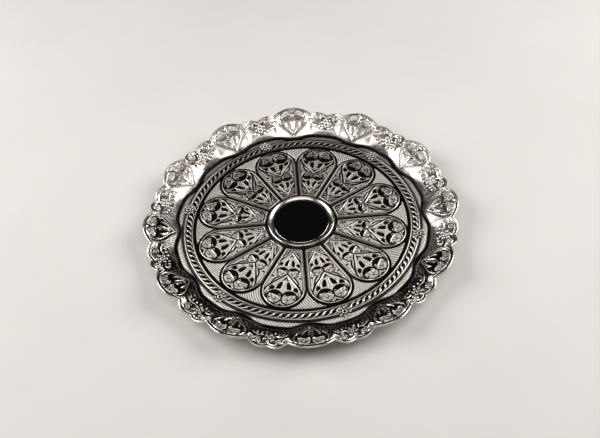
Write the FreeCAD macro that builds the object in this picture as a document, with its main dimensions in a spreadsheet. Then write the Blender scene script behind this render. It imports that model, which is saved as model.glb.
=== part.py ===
"""Offering plate: a round embossed metal plate with a raised, scalloped rim.

The plate stands on a low foot ring, +Z up, with the origin at the centre of the face it stands on.
A flat floor sheet carries twelve petal panels, a twisted border between two plain wires with six
rosettes on it, and a collar round a plain polished disc in the middle. The rim is a separate
border of twelve large and twenty-four small lobes, finished with a wire along its wavy edge.
One large lobe of the rim points along +X. All lengths are in millimetres.
"""

import FreeCAD, Part  # noqa: E401  (FreeCAD has to come first)

import math
import os

import Sketcher
from FreeCAD import Placement, Rotation, Vector

PETALS = 12
ROSETTES = 6
ROSETTE_BEADS = 8
SECTOR = 2 * math.pi / PETALS
HALF_PETAL = SECTOR / 2

doc = FreeCAD.newDocument("offering_plate")
dims = doc.addObject("Spreadsheet::Sheet", "dims")

DIMENSIONS = {
    # heights
    "foot_height": 3.0,
    "sheet_thick": 1.2,
    # floor sheet and foot ring
    "floor_radius": 124.8,
    "foot_inner_radius": 97.0,
    "foot_outer_radius": 100.0,
    "foot_flange_radius": 103.0,
    "foot_flange_thick": 0.9,
    # petal panels, measured along and across the line from the plate's centre
    "petal_round_centre": 81.4,
    "petal_round_radius": 19.2,
    "petal_inner_end": 34.6,
    "petal_inner_half": 7.3,
    "petal_thick": 1.1,
    "petal_border": 1.5,
    "petal_sink": 0.5,
    "big_volute_along": 85.4,
    "big_volute_across": 7.6,
    "big_volute_radius": 6.3,
    "small_volute_along": 58.6,
    "small_volute_across": 5.3,
    "small_volute_radius": 4.4,
    "volute_sink": 0.35,
    # leaf-shaped recesses that spread from the point of each heart
    "big_heart_point": 65.2,
    "big_leaf_start": 4.5,
    "big_leaf_end": 14.0,
    "big_leaf_width": 2.6,
    "small_heart_point": 42.2,
    "small_leaf_start": 4.5,
    "small_leaf_end": 10.0,
    "small_leaf_width": 1.9,
    "leaf_root_width": 0.6,
    "inner_leaf_lean": 9.2,
    "outer_leaf_lean": 35.5,
    # twisted border, its two wires and its rosettes
    "rope_radius": 108.6,
    "rope_half_width": 2.75,
    "rope_height": 1.4,
    "rope_side": 0.4,
    "wire_inner_radius": 104.9,
    "wire_outer_radius": 112.3,
    "wire_half_width": 0.75,
    "wire_height": 1.0,
    "wire_side": 0.5,
    "wire_flat_half": 0.35,
    "rosette_circle": 112.3,
    "rosette_start": 46.0,
    "rosette_radius": 6.0,
    "rosette_thick": 0.9,
    "rosette_boss": 2.3,
    "rosette_rise": 0.8,
    "rosette_bead": 1.2,
    "rosette_bead_circle": 4.4,
    "rosette_gap": 0.02,
    # collar and disc in the middle
    "collar_inner_radius": 26.6,
    "collar_crest_radius": 30.3,
    "collar_outer_radius": 33.2,
    "collar_height": 3.2,
    "collar_ledge": 1.5,
    "disc_radius": 26.58,
    "disc_thick": 1.3,
    "disc_chamfer": 0.3,
    "collar_round": 1.2,
    # rim
    "rim_thick": 1.0,
    "rim_seat": 1.6,
    "seam_radius_lobe": 117.0,
    "seam_radius_gap": 121.6,
    "seam_half_angle": 10.5,
    "lobe_tip_radius": 148.3,
    "lobe_tip_height": 15.0,
    "lobe_notch_radius": 141.9,
    "lobe_notch_height": 11.9,
    "gap_notch_radius": 143.8,
    "gap_notch_height": 7.7,
    "small_lobe_bulge": 3.4,
    "lobe_half_angle": 8.0,
    "edge_wire_flat": 1.1,
    "edge_wire_reach": 1.8,
    "edge_wire_crown": 1.0,
}

for row, (alias, value) in enumerate(DIMENSIONS.items(), start=1):
    dims.set(f"A{row}", alias)
    dims.set(f"B{row}", str(value))
    dims.setAlias(f"B{row}", alias)
doc.recompute()

FLOOR_TOP = "dims.foot_height + dims.sheet_thick"


def size(alias):
    """The value of a driving dimension in the sheet."""
    return float(getattr(dims, alias))


# ---------------------------------------------------------------- sketch helpers


def new_body(name):
    body = doc.addObject("PartDesign::Body", name)
    body.Label = name
    return body


def new_sketch(body, name, role):
    """A sketch on one of the body's own origin planes, such as XY_Plane."""
    sketch = body.newObject("Sketcher::SketchObject", name)
    plane = next(f for f in body.Origin.OriginFeatures if f.Role == role)
    sketch.AttachmentSupport = [(plane, "")]
    sketch.MapMode = "FlatFace"
    return sketch


def tie(sketch, kind, refs, expression):
    """Adds a constraint whose size is bound to the sheet. kind is DistanceX, DistanceY or Radius."""
    index = sketch.addConstraint(Sketcher.Constraint(kind, *refs))
    sketch.setExpression(f"Constraints[{index}]", expression)


def pin_point(sketch, geometry, end, across, along):
    """Ties a point to the sketch's origin. Each of across and along is None or (value, expression)."""
    for kind, coordinate in (("DistanceX", across), ("DistanceY", along)):
        if coordinate is None:
            continue
        value, expression = coordinate
        if abs(value) < 1e-9:
            point_on = -2 if kind == "DistanceX" else -1
            sketch.addConstraint(Sketcher.Constraint("PointOnObject", geometry, end, point_on))
        elif value > 0:
            tie(sketch, kind, (-1, 1, geometry, end, value), expression)
        else:
            tie(sketch, kind, (geometry, end, -1, 1, -value), expression)


def dim(alias, sign=1):
    """(value, expression) of a sheet cell, where the expression is its distance from the origin."""
    return sign * size(alias), f"dims.{alias}"


ZERO = (0.0, "0")


def draw_polygon(sketch, points):
    """A closed outline of straight lines, each corner tied to the sheet."""
    corners = [Vector(x[0], y[0], 0) for x, y in points]
    first = sketch.GeometryCount
    count = len(corners)
    for i in range(count):
        sketch.addGeometry(Part.LineSegment(corners[i], corners[(i + 1) % count]))
    for i in range(count):
        sketch.addConstraint(
            Sketcher.Constraint("Coincident", first + i, 2, first + (i + 1) % count, 1)
        )
    for i, (across, along) in enumerate(points):
        pin_point(sketch, first + i, 1, across, along)


def draw_circle(sketch, across, along, radius):
    """A circle. across and along are (value, expression), and radius is a cell's alias."""
    circle = Part.Circle(Vector(across[0], along[0], 0), Vector(0, 0, 1), size(radius))
    index = sketch.addGeometry(circle)
    tie(sketch, "Radius", (index, size(radius)), f"dims.{radius}")
    pin_point(sketch, index, 3, across, along)


def draw_rope_section(sketch):
    """The rope's section: a chord on the sketch's X axis, two short upright sides and an arc on top."""
    middle, half = size("rope_radius"), size("rope_half_width")
    rise, side = size("rope_height"), size("rope_side")
    low_left, low_right = Vector(middle - half, 0, 0), Vector(middle + half, 0, 0)
    left, right = Vector(middle - half, side, 0), Vector(middle + half, side, 0)
    outline = [
        Part.LineSegment(low_left, low_right),
        Part.LineSegment(low_right, right),
        Part.Arc(right, Vector(middle, rise, 0), left),
        Part.LineSegment(left, low_left),
    ]
    chord, up, arc, down = sketch.addGeometry(outline)
    for one, two in ((chord, up), (up, arc), (arc, down), (down, chord)):
        sketch.addConstraint(Sketcher.Constraint("Coincident", one, 2, two, 1))
    left_x = (low_left.x, "dims.rope_radius - dims.rope_half_width")
    right_x = (low_right.x, "dims.rope_radius + dims.rope_half_width")
    pin_point(sketch, chord, 1, left_x, ZERO)
    pin_point(sketch, chord, 2, right_x, ZERO)
    pin_point(sketch, up, 2, right_x, dim("rope_side"))
    pin_point(sketch, down, 1, left_x, dim("rope_side"))
    bow = rise - side
    bow_text = "(dims.rope_height - dims.rope_side)"
    arc_text = f"(dims.rope_half_width^2 + {bow_text}^2) / (2 * {bow_text})"
    tie(sketch, "Radius", (arc, (half * half + bow * bow) / (2 * bow)), arc_text)


def draw_wire_section(sketch, centre):
    """A wire's section: flat below and on top, with a bevelled shoulder at each side."""

    def offset(alias, sign):
        value = size(centre) + sign * size(alias)
        return value, f"dims.{centre} {'+' if sign > 0 else '-'} dims.{alias}"

    side, top = dim("wire_side"), dim("wire_height")
    draw_polygon(
        sketch,
        [
            (offset("wire_half_width", -1), ZERO),
            (offset("wire_half_width", 1), ZERO),
            (offset("wire_half_width", 1), side),
            (offset("wire_flat_half", 1), top),
            (offset("wire_flat_half", -1), top),
            (offset("wire_half_width", -1), side),
        ],
    )


# ---------------------------------------------------------------- feature helpers


def pad(body, sketch, name, length, base="0"):
    """Pads a sketch by length from a plane that stands base above the sketch's own."""
    sketch.setExpression("AttachmentOffset.Base.z", base)
    feature = body.newObject("PartDesign::Pad", name)
    feature.Profile = sketch
    feature.setExpression("Length", length)
    doc.recompute()
    return feature


def pocket(body, sketch, name, depth, top):
    """Cuts a sketch downwards by depth, from the level top. Stops if nothing was cut."""
    before = body.Shape.Volume
    sketch.setExpression("AttachmentOffset.Base.z", top)
    feature = body.newObject("PartDesign::Pocket", name)
    feature.Profile = sketch
    feature.Type = "Length"
    feature.setExpression("Length", depth)
    doc.recompute()
    if not body.Shape.Volume < before - 1e-6:
        raise RuntimeError(f"{body.Label}: {name} cuts nothing")
    return feature


def revolve(body, sketch, name):
    """Turns a sketch of the XZ plane once round the body's Z axis."""
    feature = body.newObject("PartDesign::Revolution", name)
    feature.Profile = sketch
    feature.ReferenceAxis = (sketch, ["V_Axis"])
    feature.Angle = 360
    doc.recompute()
    return feature


def polar(body, feature, name, count):
    """Repeats a feature round the body's Z axis."""
    pattern = body.newObject("PartDesign::PolarPattern", name)
    pattern.Originals = [feature]
    axis = next(f for f in body.Origin.OriginFeatures if f.Role == "Z_Axis")
    pattern.Axis = (axis, [""])
    pattern.Angle = 360
    pattern.Occurrences = count
    body.Tip = pattern
    doc.recompute()
    return pattern


def place(body, height=FLOOR_TOP, turn=0.0, out=None):
    """Stands a body at a height, turned about the plate's axis and moved out along its own line."""
    body.Placement = Placement(Vector(0, 0, 0), Rotation(Vector(0, 0, 1), turn))
    body.setExpression("Placement.Base.z", height)
    if out:
        cosine, sine = math.cos(math.radians(turn)), math.sin(math.radians(turn))
        body.setExpression("Placement.Base.x", f"{out} * {cosine:.9f}")
        body.setExpression("Placement.Base.y", f"{out} * {sine:.9f}")
    doc.recompute()


# ---------------------------------------------------------------- floor, foot and middle


def make_floor_plate():
    """The round sheet that everything else is soldered to."""
    body = new_body("floor_plate")
    outline = new_sketch(body, "floor_outline", "XY_Plane")
    draw_circle(outline, ZERO, ZERO, "floor_radius")
    pad(body, outline, "floor_sheet", "dims.sheet_thick")
    place(body, "dims.foot_height")
    return body


def make_foot_ring():
    """An L-shaped ring: a thin flange under the floor and a wall that stands on the table."""
    body = new_body("foot_ring")
    section = new_sketch(body, "foot_section", "XZ_Plane")
    flange_under = (
        size("foot_height") - size("foot_flange_thick"),
        "dims.foot_height - dims.foot_flange_thick",
    )
    draw_polygon(
        section,
        [
            (dim("foot_inner_radius"), ZERO),
            (dim("foot_outer_radius"), ZERO),
            (dim("foot_outer_radius"), flange_under),
            (dim("foot_flange_radius"), flange_under),
            (dim("foot_flange_radius"), dim("foot_height")),
            (dim("foot_inner_radius"), dim("foot_height")),
        ],
    )
    revolve(body, section, "foot_turned")
    place(body, "0")
    return body


def make_centre_collar():
    """The turned ring round the middle disc: an upright inner wall and a sloping, rounded outside."""
    body = new_body("centre_collar")
    section = new_sketch(body, "collar_section", "XZ_Plane")
    draw_polygon(
        section,
        [
            (dim("collar_inner_radius"), ZERO),
            (dim("collar_outer_radius"), ZERO),
            (dim("collar_outer_radius"), dim("collar_ledge")),
            (dim("collar_crest_radius"), dim("collar_height")),
            (dim("collar_inner_radius"), dim("collar_height")),
        ],
    )
    turned = revolve(body, section, "collar_turned")
    top_edges = [
        f"Edge{i + 1}"
        for i, edge in enumerate(turned.Shape.Edges)
        if abs(edge.BoundBox.ZMin - size("collar_height")) < 1e-6
        and abs(edge.BoundBox.ZMax - size("collar_height")) < 1e-6
    ]
    rounded = body.newObject("PartDesign::Fillet", "collar_rounding")
    rounded.Base = (turned, top_edges)
    rounded.setExpression("Radius", "dims.collar_round")
    doc.recompute()
    place(body)
    return body


def make_centre_disc():
    """The plain polished disc inside the collar."""
    body = new_body("centre_disc")
    outline = new_sketch(body, "disc_outline", "XY_Plane")
    draw_circle(outline, ZERO, ZERO, "disc_radius")
    blank = pad(body, outline, "disc_blank", "dims.disc_thick")
    top_edge = next(
        f"Edge{i + 1}"
        for i, edge in enumerate(blank.Shape.Edges)
        if edge.BoundBox.ZMin > size("disc_thick") - 1e-6
    )
    bevel = body.newObject("PartDesign::Chamfer", "disc_bevel")
    bevel.Base = (blank, [top_edge])
    bevel.setExpression("Size", "dims.disc_chamfer")
    doc.recompute()
    place(body)
    return body


# ---------------------------------------------------------------- petal panels


def petal_corners(inset):
    """The petal's outline, inset by a distance: inner corner, tangent point and tip, in (across, along)."""
    centre, radius = size("petal_round_centre"), size("petal_round_radius") - inset
    inner_x, inner_y = size("petal_inner_half"), size("petal_inner_end")
    full = size("petal_round_radius")
    reach = math.hypot(inner_x, centre - inner_y)
    lean = math.atan2(centre - inner_y, -inner_x) - math.asin(full / reach)
    side = Vector(math.cos(lean), math.sin(lean), 0)
    outward = Vector(side.y, -side.x, 0)
    tangent = Vector(0, centre, 0) + outward * radius
    low = inner_y + inset
    corner = tangent - side * ((tangent.y - low) / side.y)
    return corner, tangent, Vector(0, centre + radius, 0)


def draw_petal(sketch, inset):
    """The petal's outline as two sides, a round outer end and a straight inner end."""
    corner, tangent, tip = petal_corners(inset)
    mirrored = Vector(-corner.x, corner.y, 0), Vector(-tangent.x, tangent.y, 0)
    right = sketch.addGeometry(Part.LineSegment(corner, tangent))
    cap = sketch.addGeometry(Part.Arc(tangent, tip, mirrored[1]))
    left = sketch.addGeometry(Part.LineSegment(mirrored[1], mirrored[0]))
    base = sketch.addGeometry(Part.LineSegment(mirrored[0], corner))
    for one, two in ((right, cap), (cap, left)):
        sketch.addConstraint(Sketcher.Constraint("Tangent", one, 2, two, 1))
    for one, two in ((left, base), (base, right)):
        sketch.addConstraint(Sketcher.Constraint("Coincident", one, 2, two, 1))
    sketch.addConstraint(Sketcher.Constraint("Symmetric", base, 1, base, 2, -2))
    pin_point(sketch, cap, 3, ZERO, dim("petal_round_centre"))
    radius = "dims.petal_round_radius"
    if inset:
        radius = f"{radius} - dims.petal_border"
    tie(sketch, "Radius", (cap, size("petal_round_radius") - inset), radius)
    low = "dims.petal_inner_end"
    if inset:
        low = f"{low} + dims.petal_border"
    tie(sketch, "DistanceY", (-1, 1, base, 2, corner.y), low)
    half = "dims.petal_inner_half"
    if inset:
        half = f"{half} * {corner.x / size('petal_inner_half'):.6f}"
    tie(sketch, "DistanceX", (-1, 1, base, 2, corner.x), half)


def draw_leaf(sketch, heart, lean, side):
    """A recess that widens away from a heart's point, leaning to one side (1 or -1) of the petal."""
    angle = math.radians(size(lean))
    forward, sideways = math.cos(angle), math.sin(angle)
    ends = ((f"{heart}_leaf_start", "leaf_root_width"), (f"{heart}_leaf_end", f"{heart}_leaf_width"))
    corners = []
    for (reach, width), order in zip(ends, ((-1, 1), (1, -1))):
        for edge in order:
            half = edge / 2
            across = size(reach) * sideways + half * size(width) * forward
            along = size(f"{heart}_heart_point") + size(reach) * forward - half * size(width) * sideways
            across_text = f"dims.{reach} * {sideways:.6f} + dims.{width} * {half * forward:.6f}"
            along_text = f"dims.{heart}_heart_point + dims.{reach} * {forward:.6f}"
            along_text = f"{along_text} - dims.{width} * {half * sideways:.6f}"
            corners.append(((side * across, across_text), (along, along_text)))
    draw_polygon(sketch, corners)


def make_petal_panel(number):
    """One embossed panel: a raised border round a sunk field with two hearts, each of two volutes."""
    body = new_body(f"petal_panel_{number:02d}")
    outline = new_sketch(body, f"petal_outline_{number:02d}", "XY_Plane")
    draw_petal(outline, 0.0)
    pad(body, outline, f"petal_blank_{number:02d}", "dims.petal_thick")
    field = new_sketch(body, f"petal_field_{number:02d}", "XY_Plane")
    draw_petal(field, size("petal_border"))
    pocket(body, field, f"petal_sunk_{number:02d}", "dims.petal_sink", "dims.petal_thick")
    hearts = new_sketch(body, f"petal_hearts_{number:02d}", "XY_Plane")
    for heart in ("big", "small"):
        for side in (-1, 1):
            across = dim(f"{heart}_volute_across", side)
            draw_circle(hearts, across, dim(f"{heart}_volute_along"), f"{heart}_volute_radius")
            for lean in ("inner_leaf_lean", "outer_leaf_lean"):
                draw_leaf(hearts, heart, lean, side)
    field_level = "dims.petal_thick - dims.petal_sink"
    pocket(body, hearts, f"petal_recesses_{number:02d}", "dims.volute_sink", field_level)
    turn = math.degrees(HALF_PETAL + (number - 1) * SECTOR) - 90
    place(body, FLOOR_TOP, turn)
    return body


# ---------------------------------------------------------------- twisted border


def start_border_ring(name):
    """A body with an empty sketch for the section of a ring of the border."""
    body = new_body(name)
    return body, new_sketch(body, f"{name}_section", "XZ_Plane")


def finish_border_ring(body, section, height=None):
    """Turns the section into a ring and, if given its height's alias, cuts a gap for each rosette."""
    name = body.Label
    revolve(body, section, f"{name}_turned")
    if height:
        seat = new_sketch(body, f"{name}_gap", "XY_Plane")
        hole = Part.Circle(Vector(size("rosette_circle"), 0, 0), Vector(0, 0, 1), 1)
        index = seat.addGeometry(hole)
        pin_point(seat, index, 3, dim("rosette_circle"), ZERO)
        reach = size("rosette_radius") + size("rosette_gap")
        tie(seat, "Radius", (index, reach), "dims.rosette_radius + dims.rosette_gap")
        cut = pocket(body, seat, f"{name}_gap_cut", f"dims.{height} + 1", f"dims.{height} + 0.5")
        polar(body, cut, f"{name}_gaps", ROSETTES)
    place(body, FLOOR_TOP, size("rosette_start"))
    return body


def make_rope_band():
    """The twisted band's solid: a low rounded ring, interrupted at the rosettes."""
    body, section = start_border_ring("rope_band")
    draw_rope_section(section)
    return finish_border_ring(body, section, "rope_height")


def make_border_wire(side):
    """The plain wire along the inner or the outer side of the twisted band."""
    body, section = start_border_ring(f"border_wire_{side}")
    draw_wire_section(section, f"wire_{side}_radius")
    return finish_border_ring(body, section, "wire_height" if side == "outer" else None)


def make_rosette(number):
    """A small round flower: a disc with a centre boss and a circle of beads."""
    body = new_body(f"border_rosette_{number}")
    outline = new_sketch(body, f"rosette_outline_{number}", "XY_Plane")
    draw_circle(outline, ZERO, ZERO, "rosette_radius")
    pad(body, outline, f"rosette_disc_{number}", "dims.rosette_thick")
    centre = new_sketch(body, f"rosette_centre_{number}", "XY_Plane")
    draw_circle(centre, ZERO, ZERO, "rosette_boss")
    pad(body, centre, f"rosette_boss_{number}", "dims.rosette_thick + dims.rosette_rise")
    petal = new_sketch(body, f"rosette_petal_{number}", "XY_Plane")
    draw_circle(petal, dim("rosette_bead_circle"), ZERO, "rosette_bead")
    bead = pad(body, petal, f"rosette_bead_{number}", "dims.rosette_thick + dims.rosette_rise / 2")
    polar(body, bead, f"rosette_beads_{number}", ROSETTE_BEADS)
    turn = size("rosette_start") + (number - 1) * 360 / ROSETTES
    place(body, FLOOR_TOP, turn, "dims.rosette_circle")
    return body


# ---------------------------------------------------------------- rim

LOBE_HALF = math.radians(DIMENSIONS["lobe_half_angle"])


def lobe_spans():
    """(start angle, end angle) of every lobe, once round the plate."""
    spans = []
    for i in range(PETALS):
        middle = i * SECTOR
        spans.append((middle - LOBE_HALF, middle + LOBE_HALF))
        spans.append((middle + LOBE_HALF, middle + HALF_PETAL))
        spans.append((middle + HALF_PETAL, middle + SECTOR - LOBE_HALF))
    return spans


def rim_edge(angle):
    """Radius and height above the floor of the rim's outline at an angle."""
    turn = abs((angle + HALF_PETAL) % SECTOR - HALF_PETAL)
    notch_r, notch_z = size("lobe_notch_radius"), size("lobe_notch_height")
    if turn <= LOBE_HALF:
        swell = 1 - (turn / LOBE_HALF) ** 2
        radius = notch_r + (size("lobe_tip_radius") - notch_r) * swell
        return radius, notch_z + (size("lobe_tip_height") - notch_z) * swell
    share = (turn - LOBE_HALF) / (HALF_PETAL - LOBE_HALF)
    swell = 4 * share * (1 - share)
    radius = notch_r + (size("gap_notch_radius") - notch_r) * share
    height = notch_z + (size("gap_notch_height") - notch_z) * share
    return radius + size("small_lobe_bulge") * swell, height


def rim_seam(angle):
    """Radius at which the rim meets the floor: it dips smoothly inwards at each large lobe."""
    turn = abs((angle + HALF_PETAL) % SECTOR - HALF_PETAL)
    reach = math.radians(size("seam_half_angle"))
    nearness = math.cos(math.pi / 2 * min(1, turn / reach)) ** 2
    return size("seam_radius_gap") + (size("seam_radius_lobe") - size("seam_radius_gap")) * nearness


def polar_point(radius, angle, height):
    return Vector(radius * math.cos(angle), radius * math.sin(angle), height)


def rim_section(angle):
    """The rim's section at an angle, as four runs of poles: top, outer edge, underside, inner edge."""
    seam, seat = rim_seam(angle), size("rim_seat")
    edge_r, edge_z = rim_edge(angle)
    thick = size("rim_thick")
    out, rise = edge_r - seam - seat, edge_z - thick
    profile = [(0.0, 0.0), (0.10, 0.06), (0.28, 0.36), (0.55, 0.66), (0.80, 0.86), (1.0, 1.0)]
    upper = [polar_point(seam + seat + out * a, angle, thick + rise * b) for a, b in profile]
    lower = [p - Vector(0, 0, thick) for p in upper]
    inner_top, inner_low = polar_point(seam, angle, thick), polar_point(seam, angle, 0)
    return [
        [inner_top, upper[0]],
        upper,
        [upper[-1], lower[-1]],
        lower[::-1],
        [lower[0], inner_low],
        [inner_low, inner_top],
    ]


def wire_section(angle):
    """The edge wire's section at an angle: a flat side on the rim's edge and a rounded outer side."""
    edge_r, edge_z = rim_edge(angle)
    middle = edge_z - size("rim_thick") / 2
    flat, reach, crown = size("edge_wire_flat") / 2, size("edge_wire_reach"), size("edge_wire_crown")
    corners = [(0, -flat), (0, flat), (0.6 * reach, crown), (reach, 0), (0.6 * reach, -crown)]
    ring = [polar_point(edge_r + out, angle, middle + up) for out, up in corners]
    return [[ring[0], ring[1]], [ring[1], ring[2], ring[3]], [ring[3], ring[4], ring[0]]]


def spline_patch(rows):
    """A B-spline face whose poles are rows[i][j], clamped at all four sides."""
    surface = Part.BSplineSurface()
    degrees, knots, repeats = [], [], []
    for count in (len(rows), len(rows[0])):
        degree = min(3, count - 1)
        spans = count - degree
        degrees.append(degree)
        knots.append([i / spans for i in range(spans + 1)])
        repeats.append([degree + 1] + [1] * (spans - 1) + [degree + 1])
    surface.buildFromPolesMultsKnots(
        rows, repeats[0], repeats[1], knots[0], knots[1], False, False, degrees[0], degrees[1]
    )
    return surface.toShape()


def ring_solid(section, steps):
    """A closed ring swept round the plate's axis, lobe by lobe, from the section at each angle."""
    faces = []
    for start, end in lobe_spans():
        angles = [start + (end - start) * i / steps for i in range(steps + 1)]
        sections = [section(angle) for angle in angles]
        for run in range(len(sections[0])):
            faces.append(spline_patch([s[run] for s in sections]))
    shell = Part.makeShell(faces)
    shell.sewShape()
    solid = Part.makeSolid(shell)
    if solid.Volume < 0:
        solid.reverse()
    return solid


def make_ring_feature(name, section, steps):
    feature = doc.addObject("Part::Feature", name)
    feature.Label = name
    feature.Shape = ring_solid(section, steps)
    feature.Placement = Placement(Vector(0, 0, 0), Rotation())
    feature.setExpression("Placement.Base.z", FLOOR_TOP)
    doc.recompute()
    return feature


# ---------------------------------------------------------------- assembly


def build_all():
    pieces = [make_floor_plate(), make_foot_ring(), make_centre_collar(), make_centre_disc()]
    pieces += [make_petal_panel(n + 1) for n in range(PETALS)]
    pieces += [make_rope_band(), make_border_wire("inner"), make_border_wire("outer")]
    pieces += [make_rosette(n + 1) for n in range(ROSETTES)]
    pieces.append(make_ring_feature("rim_border", rim_section, 8))
    pieces.append(make_ring_feature("edge_wire", wire_section, 8))
    return pieces


def check_document():
    failed = [o.Name for o in doc.Objects if {"Invalid", "Error"} & set(o.State)]
    if failed:
        raise RuntimeError(f"these objects failed to recompute: {failed}")


def export(pieces):
    os.makedirs("parts", exist_ok=True)
    for piece in pieces:
        shape = piece.Shape
        if shape.isNull() or not shape.isValid() or not shape.Solids:
            raise RuntimeError(f"{piece.Label} has no valid solid")
        shape.exportStep(os.path.join("parts", f"{piece.Label}.step"))
        print(f"{piece.Label}: {len(shape.Solids)} solid(s), {shape.Volume:.1f} mm3")


made = build_all()
doc.recompute()
check_document()
export(made)
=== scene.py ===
"""Looks of the embossed offering plate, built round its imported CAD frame.

The relief functions work in millimetres, on the plate seen from above: across and along are
measured from the plate's centre, along the direction that a motif points in. Meshes are in metres.
"""

import math

import bpy
import numpy as np
from mathutils import Matrix, Vector


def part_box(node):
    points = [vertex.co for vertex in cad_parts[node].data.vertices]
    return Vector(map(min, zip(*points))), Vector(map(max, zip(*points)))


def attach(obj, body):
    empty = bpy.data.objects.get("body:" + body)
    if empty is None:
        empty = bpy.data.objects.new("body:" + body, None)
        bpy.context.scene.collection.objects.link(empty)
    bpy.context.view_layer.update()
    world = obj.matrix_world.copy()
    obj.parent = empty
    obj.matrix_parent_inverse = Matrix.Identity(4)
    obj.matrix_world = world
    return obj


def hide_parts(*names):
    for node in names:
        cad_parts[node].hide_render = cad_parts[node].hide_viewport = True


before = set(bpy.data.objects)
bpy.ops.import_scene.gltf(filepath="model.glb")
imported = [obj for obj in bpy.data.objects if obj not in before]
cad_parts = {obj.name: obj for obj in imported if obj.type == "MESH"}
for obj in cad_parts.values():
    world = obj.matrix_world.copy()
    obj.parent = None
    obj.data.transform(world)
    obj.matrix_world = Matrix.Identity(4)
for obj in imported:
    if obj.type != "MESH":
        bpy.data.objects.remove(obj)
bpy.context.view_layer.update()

MM = 0.001
PETALS = 12
SECTOR = 360 / PETALS
SEED = 7


def span(node):
    """Lowest and highest corner of a CAD node, in mm."""
    low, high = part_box(node)
    return np.array(low) / MM, np.array(high) / MM


floor_low, floor_high = span("floor_plate")
FLOOR_UNDER, FLOOR_TOP, FLOOR_RADIUS = floor_low[2], floor_high[2], floor_high[0]


# ---- numbers and curves


def ramp(value, start, end):
    """0 at start and 1 at end, with a smooth change between them."""
    share = np.clip((value - start) / (end - start), 0, 1)
    return share * share * (3 - 2 * share)


def round_back(share, fullness=1):
    """Height of a half round, from 1 on its middle line to 0 at its edge and beyond."""
    return np.sqrt(np.clip(fullness - share**2, 0, 1))


def mirrored(side, points):
    """Points given for the right half of a motif, on its right (1) or left (-1) side."""
    return [(side * across, along) for across, along in points]


def far_side_painted_shade(x, y):
    """0 on the near part of the plate and 1 on its far part, where painted shade darkens the plate.
    """
    return ramp(y / np.maximum(np.hypot(x, y), 1), -0.3, 0.7)


def spline(points):
    """Points of a smooth curve through the given ones, with six steps from each to the next."""
    p = np.array(points, float)
    if len(p) < 3:
        return p
    p = np.vstack([2 * p[0] - p[1], p, 2 * p[-1] - p[-2]])
    t = np.linspace(0, 1, 6, endpoint=False)[:, None]
    runs = []
    for a, b, c, d in zip(p[:-3], p[1:-2], p[2:-1], p[3:]):
        square, cube = 2 * a - 5 * b + 4 * c - d, 3 * b - a - 3 * c + d
        runs.append(0.5 * (2 * b + (c - a) * t + square * t**2 + cube * t**3))
    return np.vstack(runs + [p[-2][None]])


def ripple(x, y, size, seed):
    """Smooth, even unevenness between about -1 and 1, with features of about the given size."""
    rng = np.random.default_rng(seed)
    total = np.zeros_like(x)
    for _ in range(6):
        angle, phase = rng.uniform(0, 2 * np.pi, 2)
        pitch = size * rng.uniform(0.7, 1.6)
        total += np.sin((x * np.cos(angle) + y * np.sin(angle)) * 2 * np.pi / pitch + phase)
    return total / 3


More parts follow.
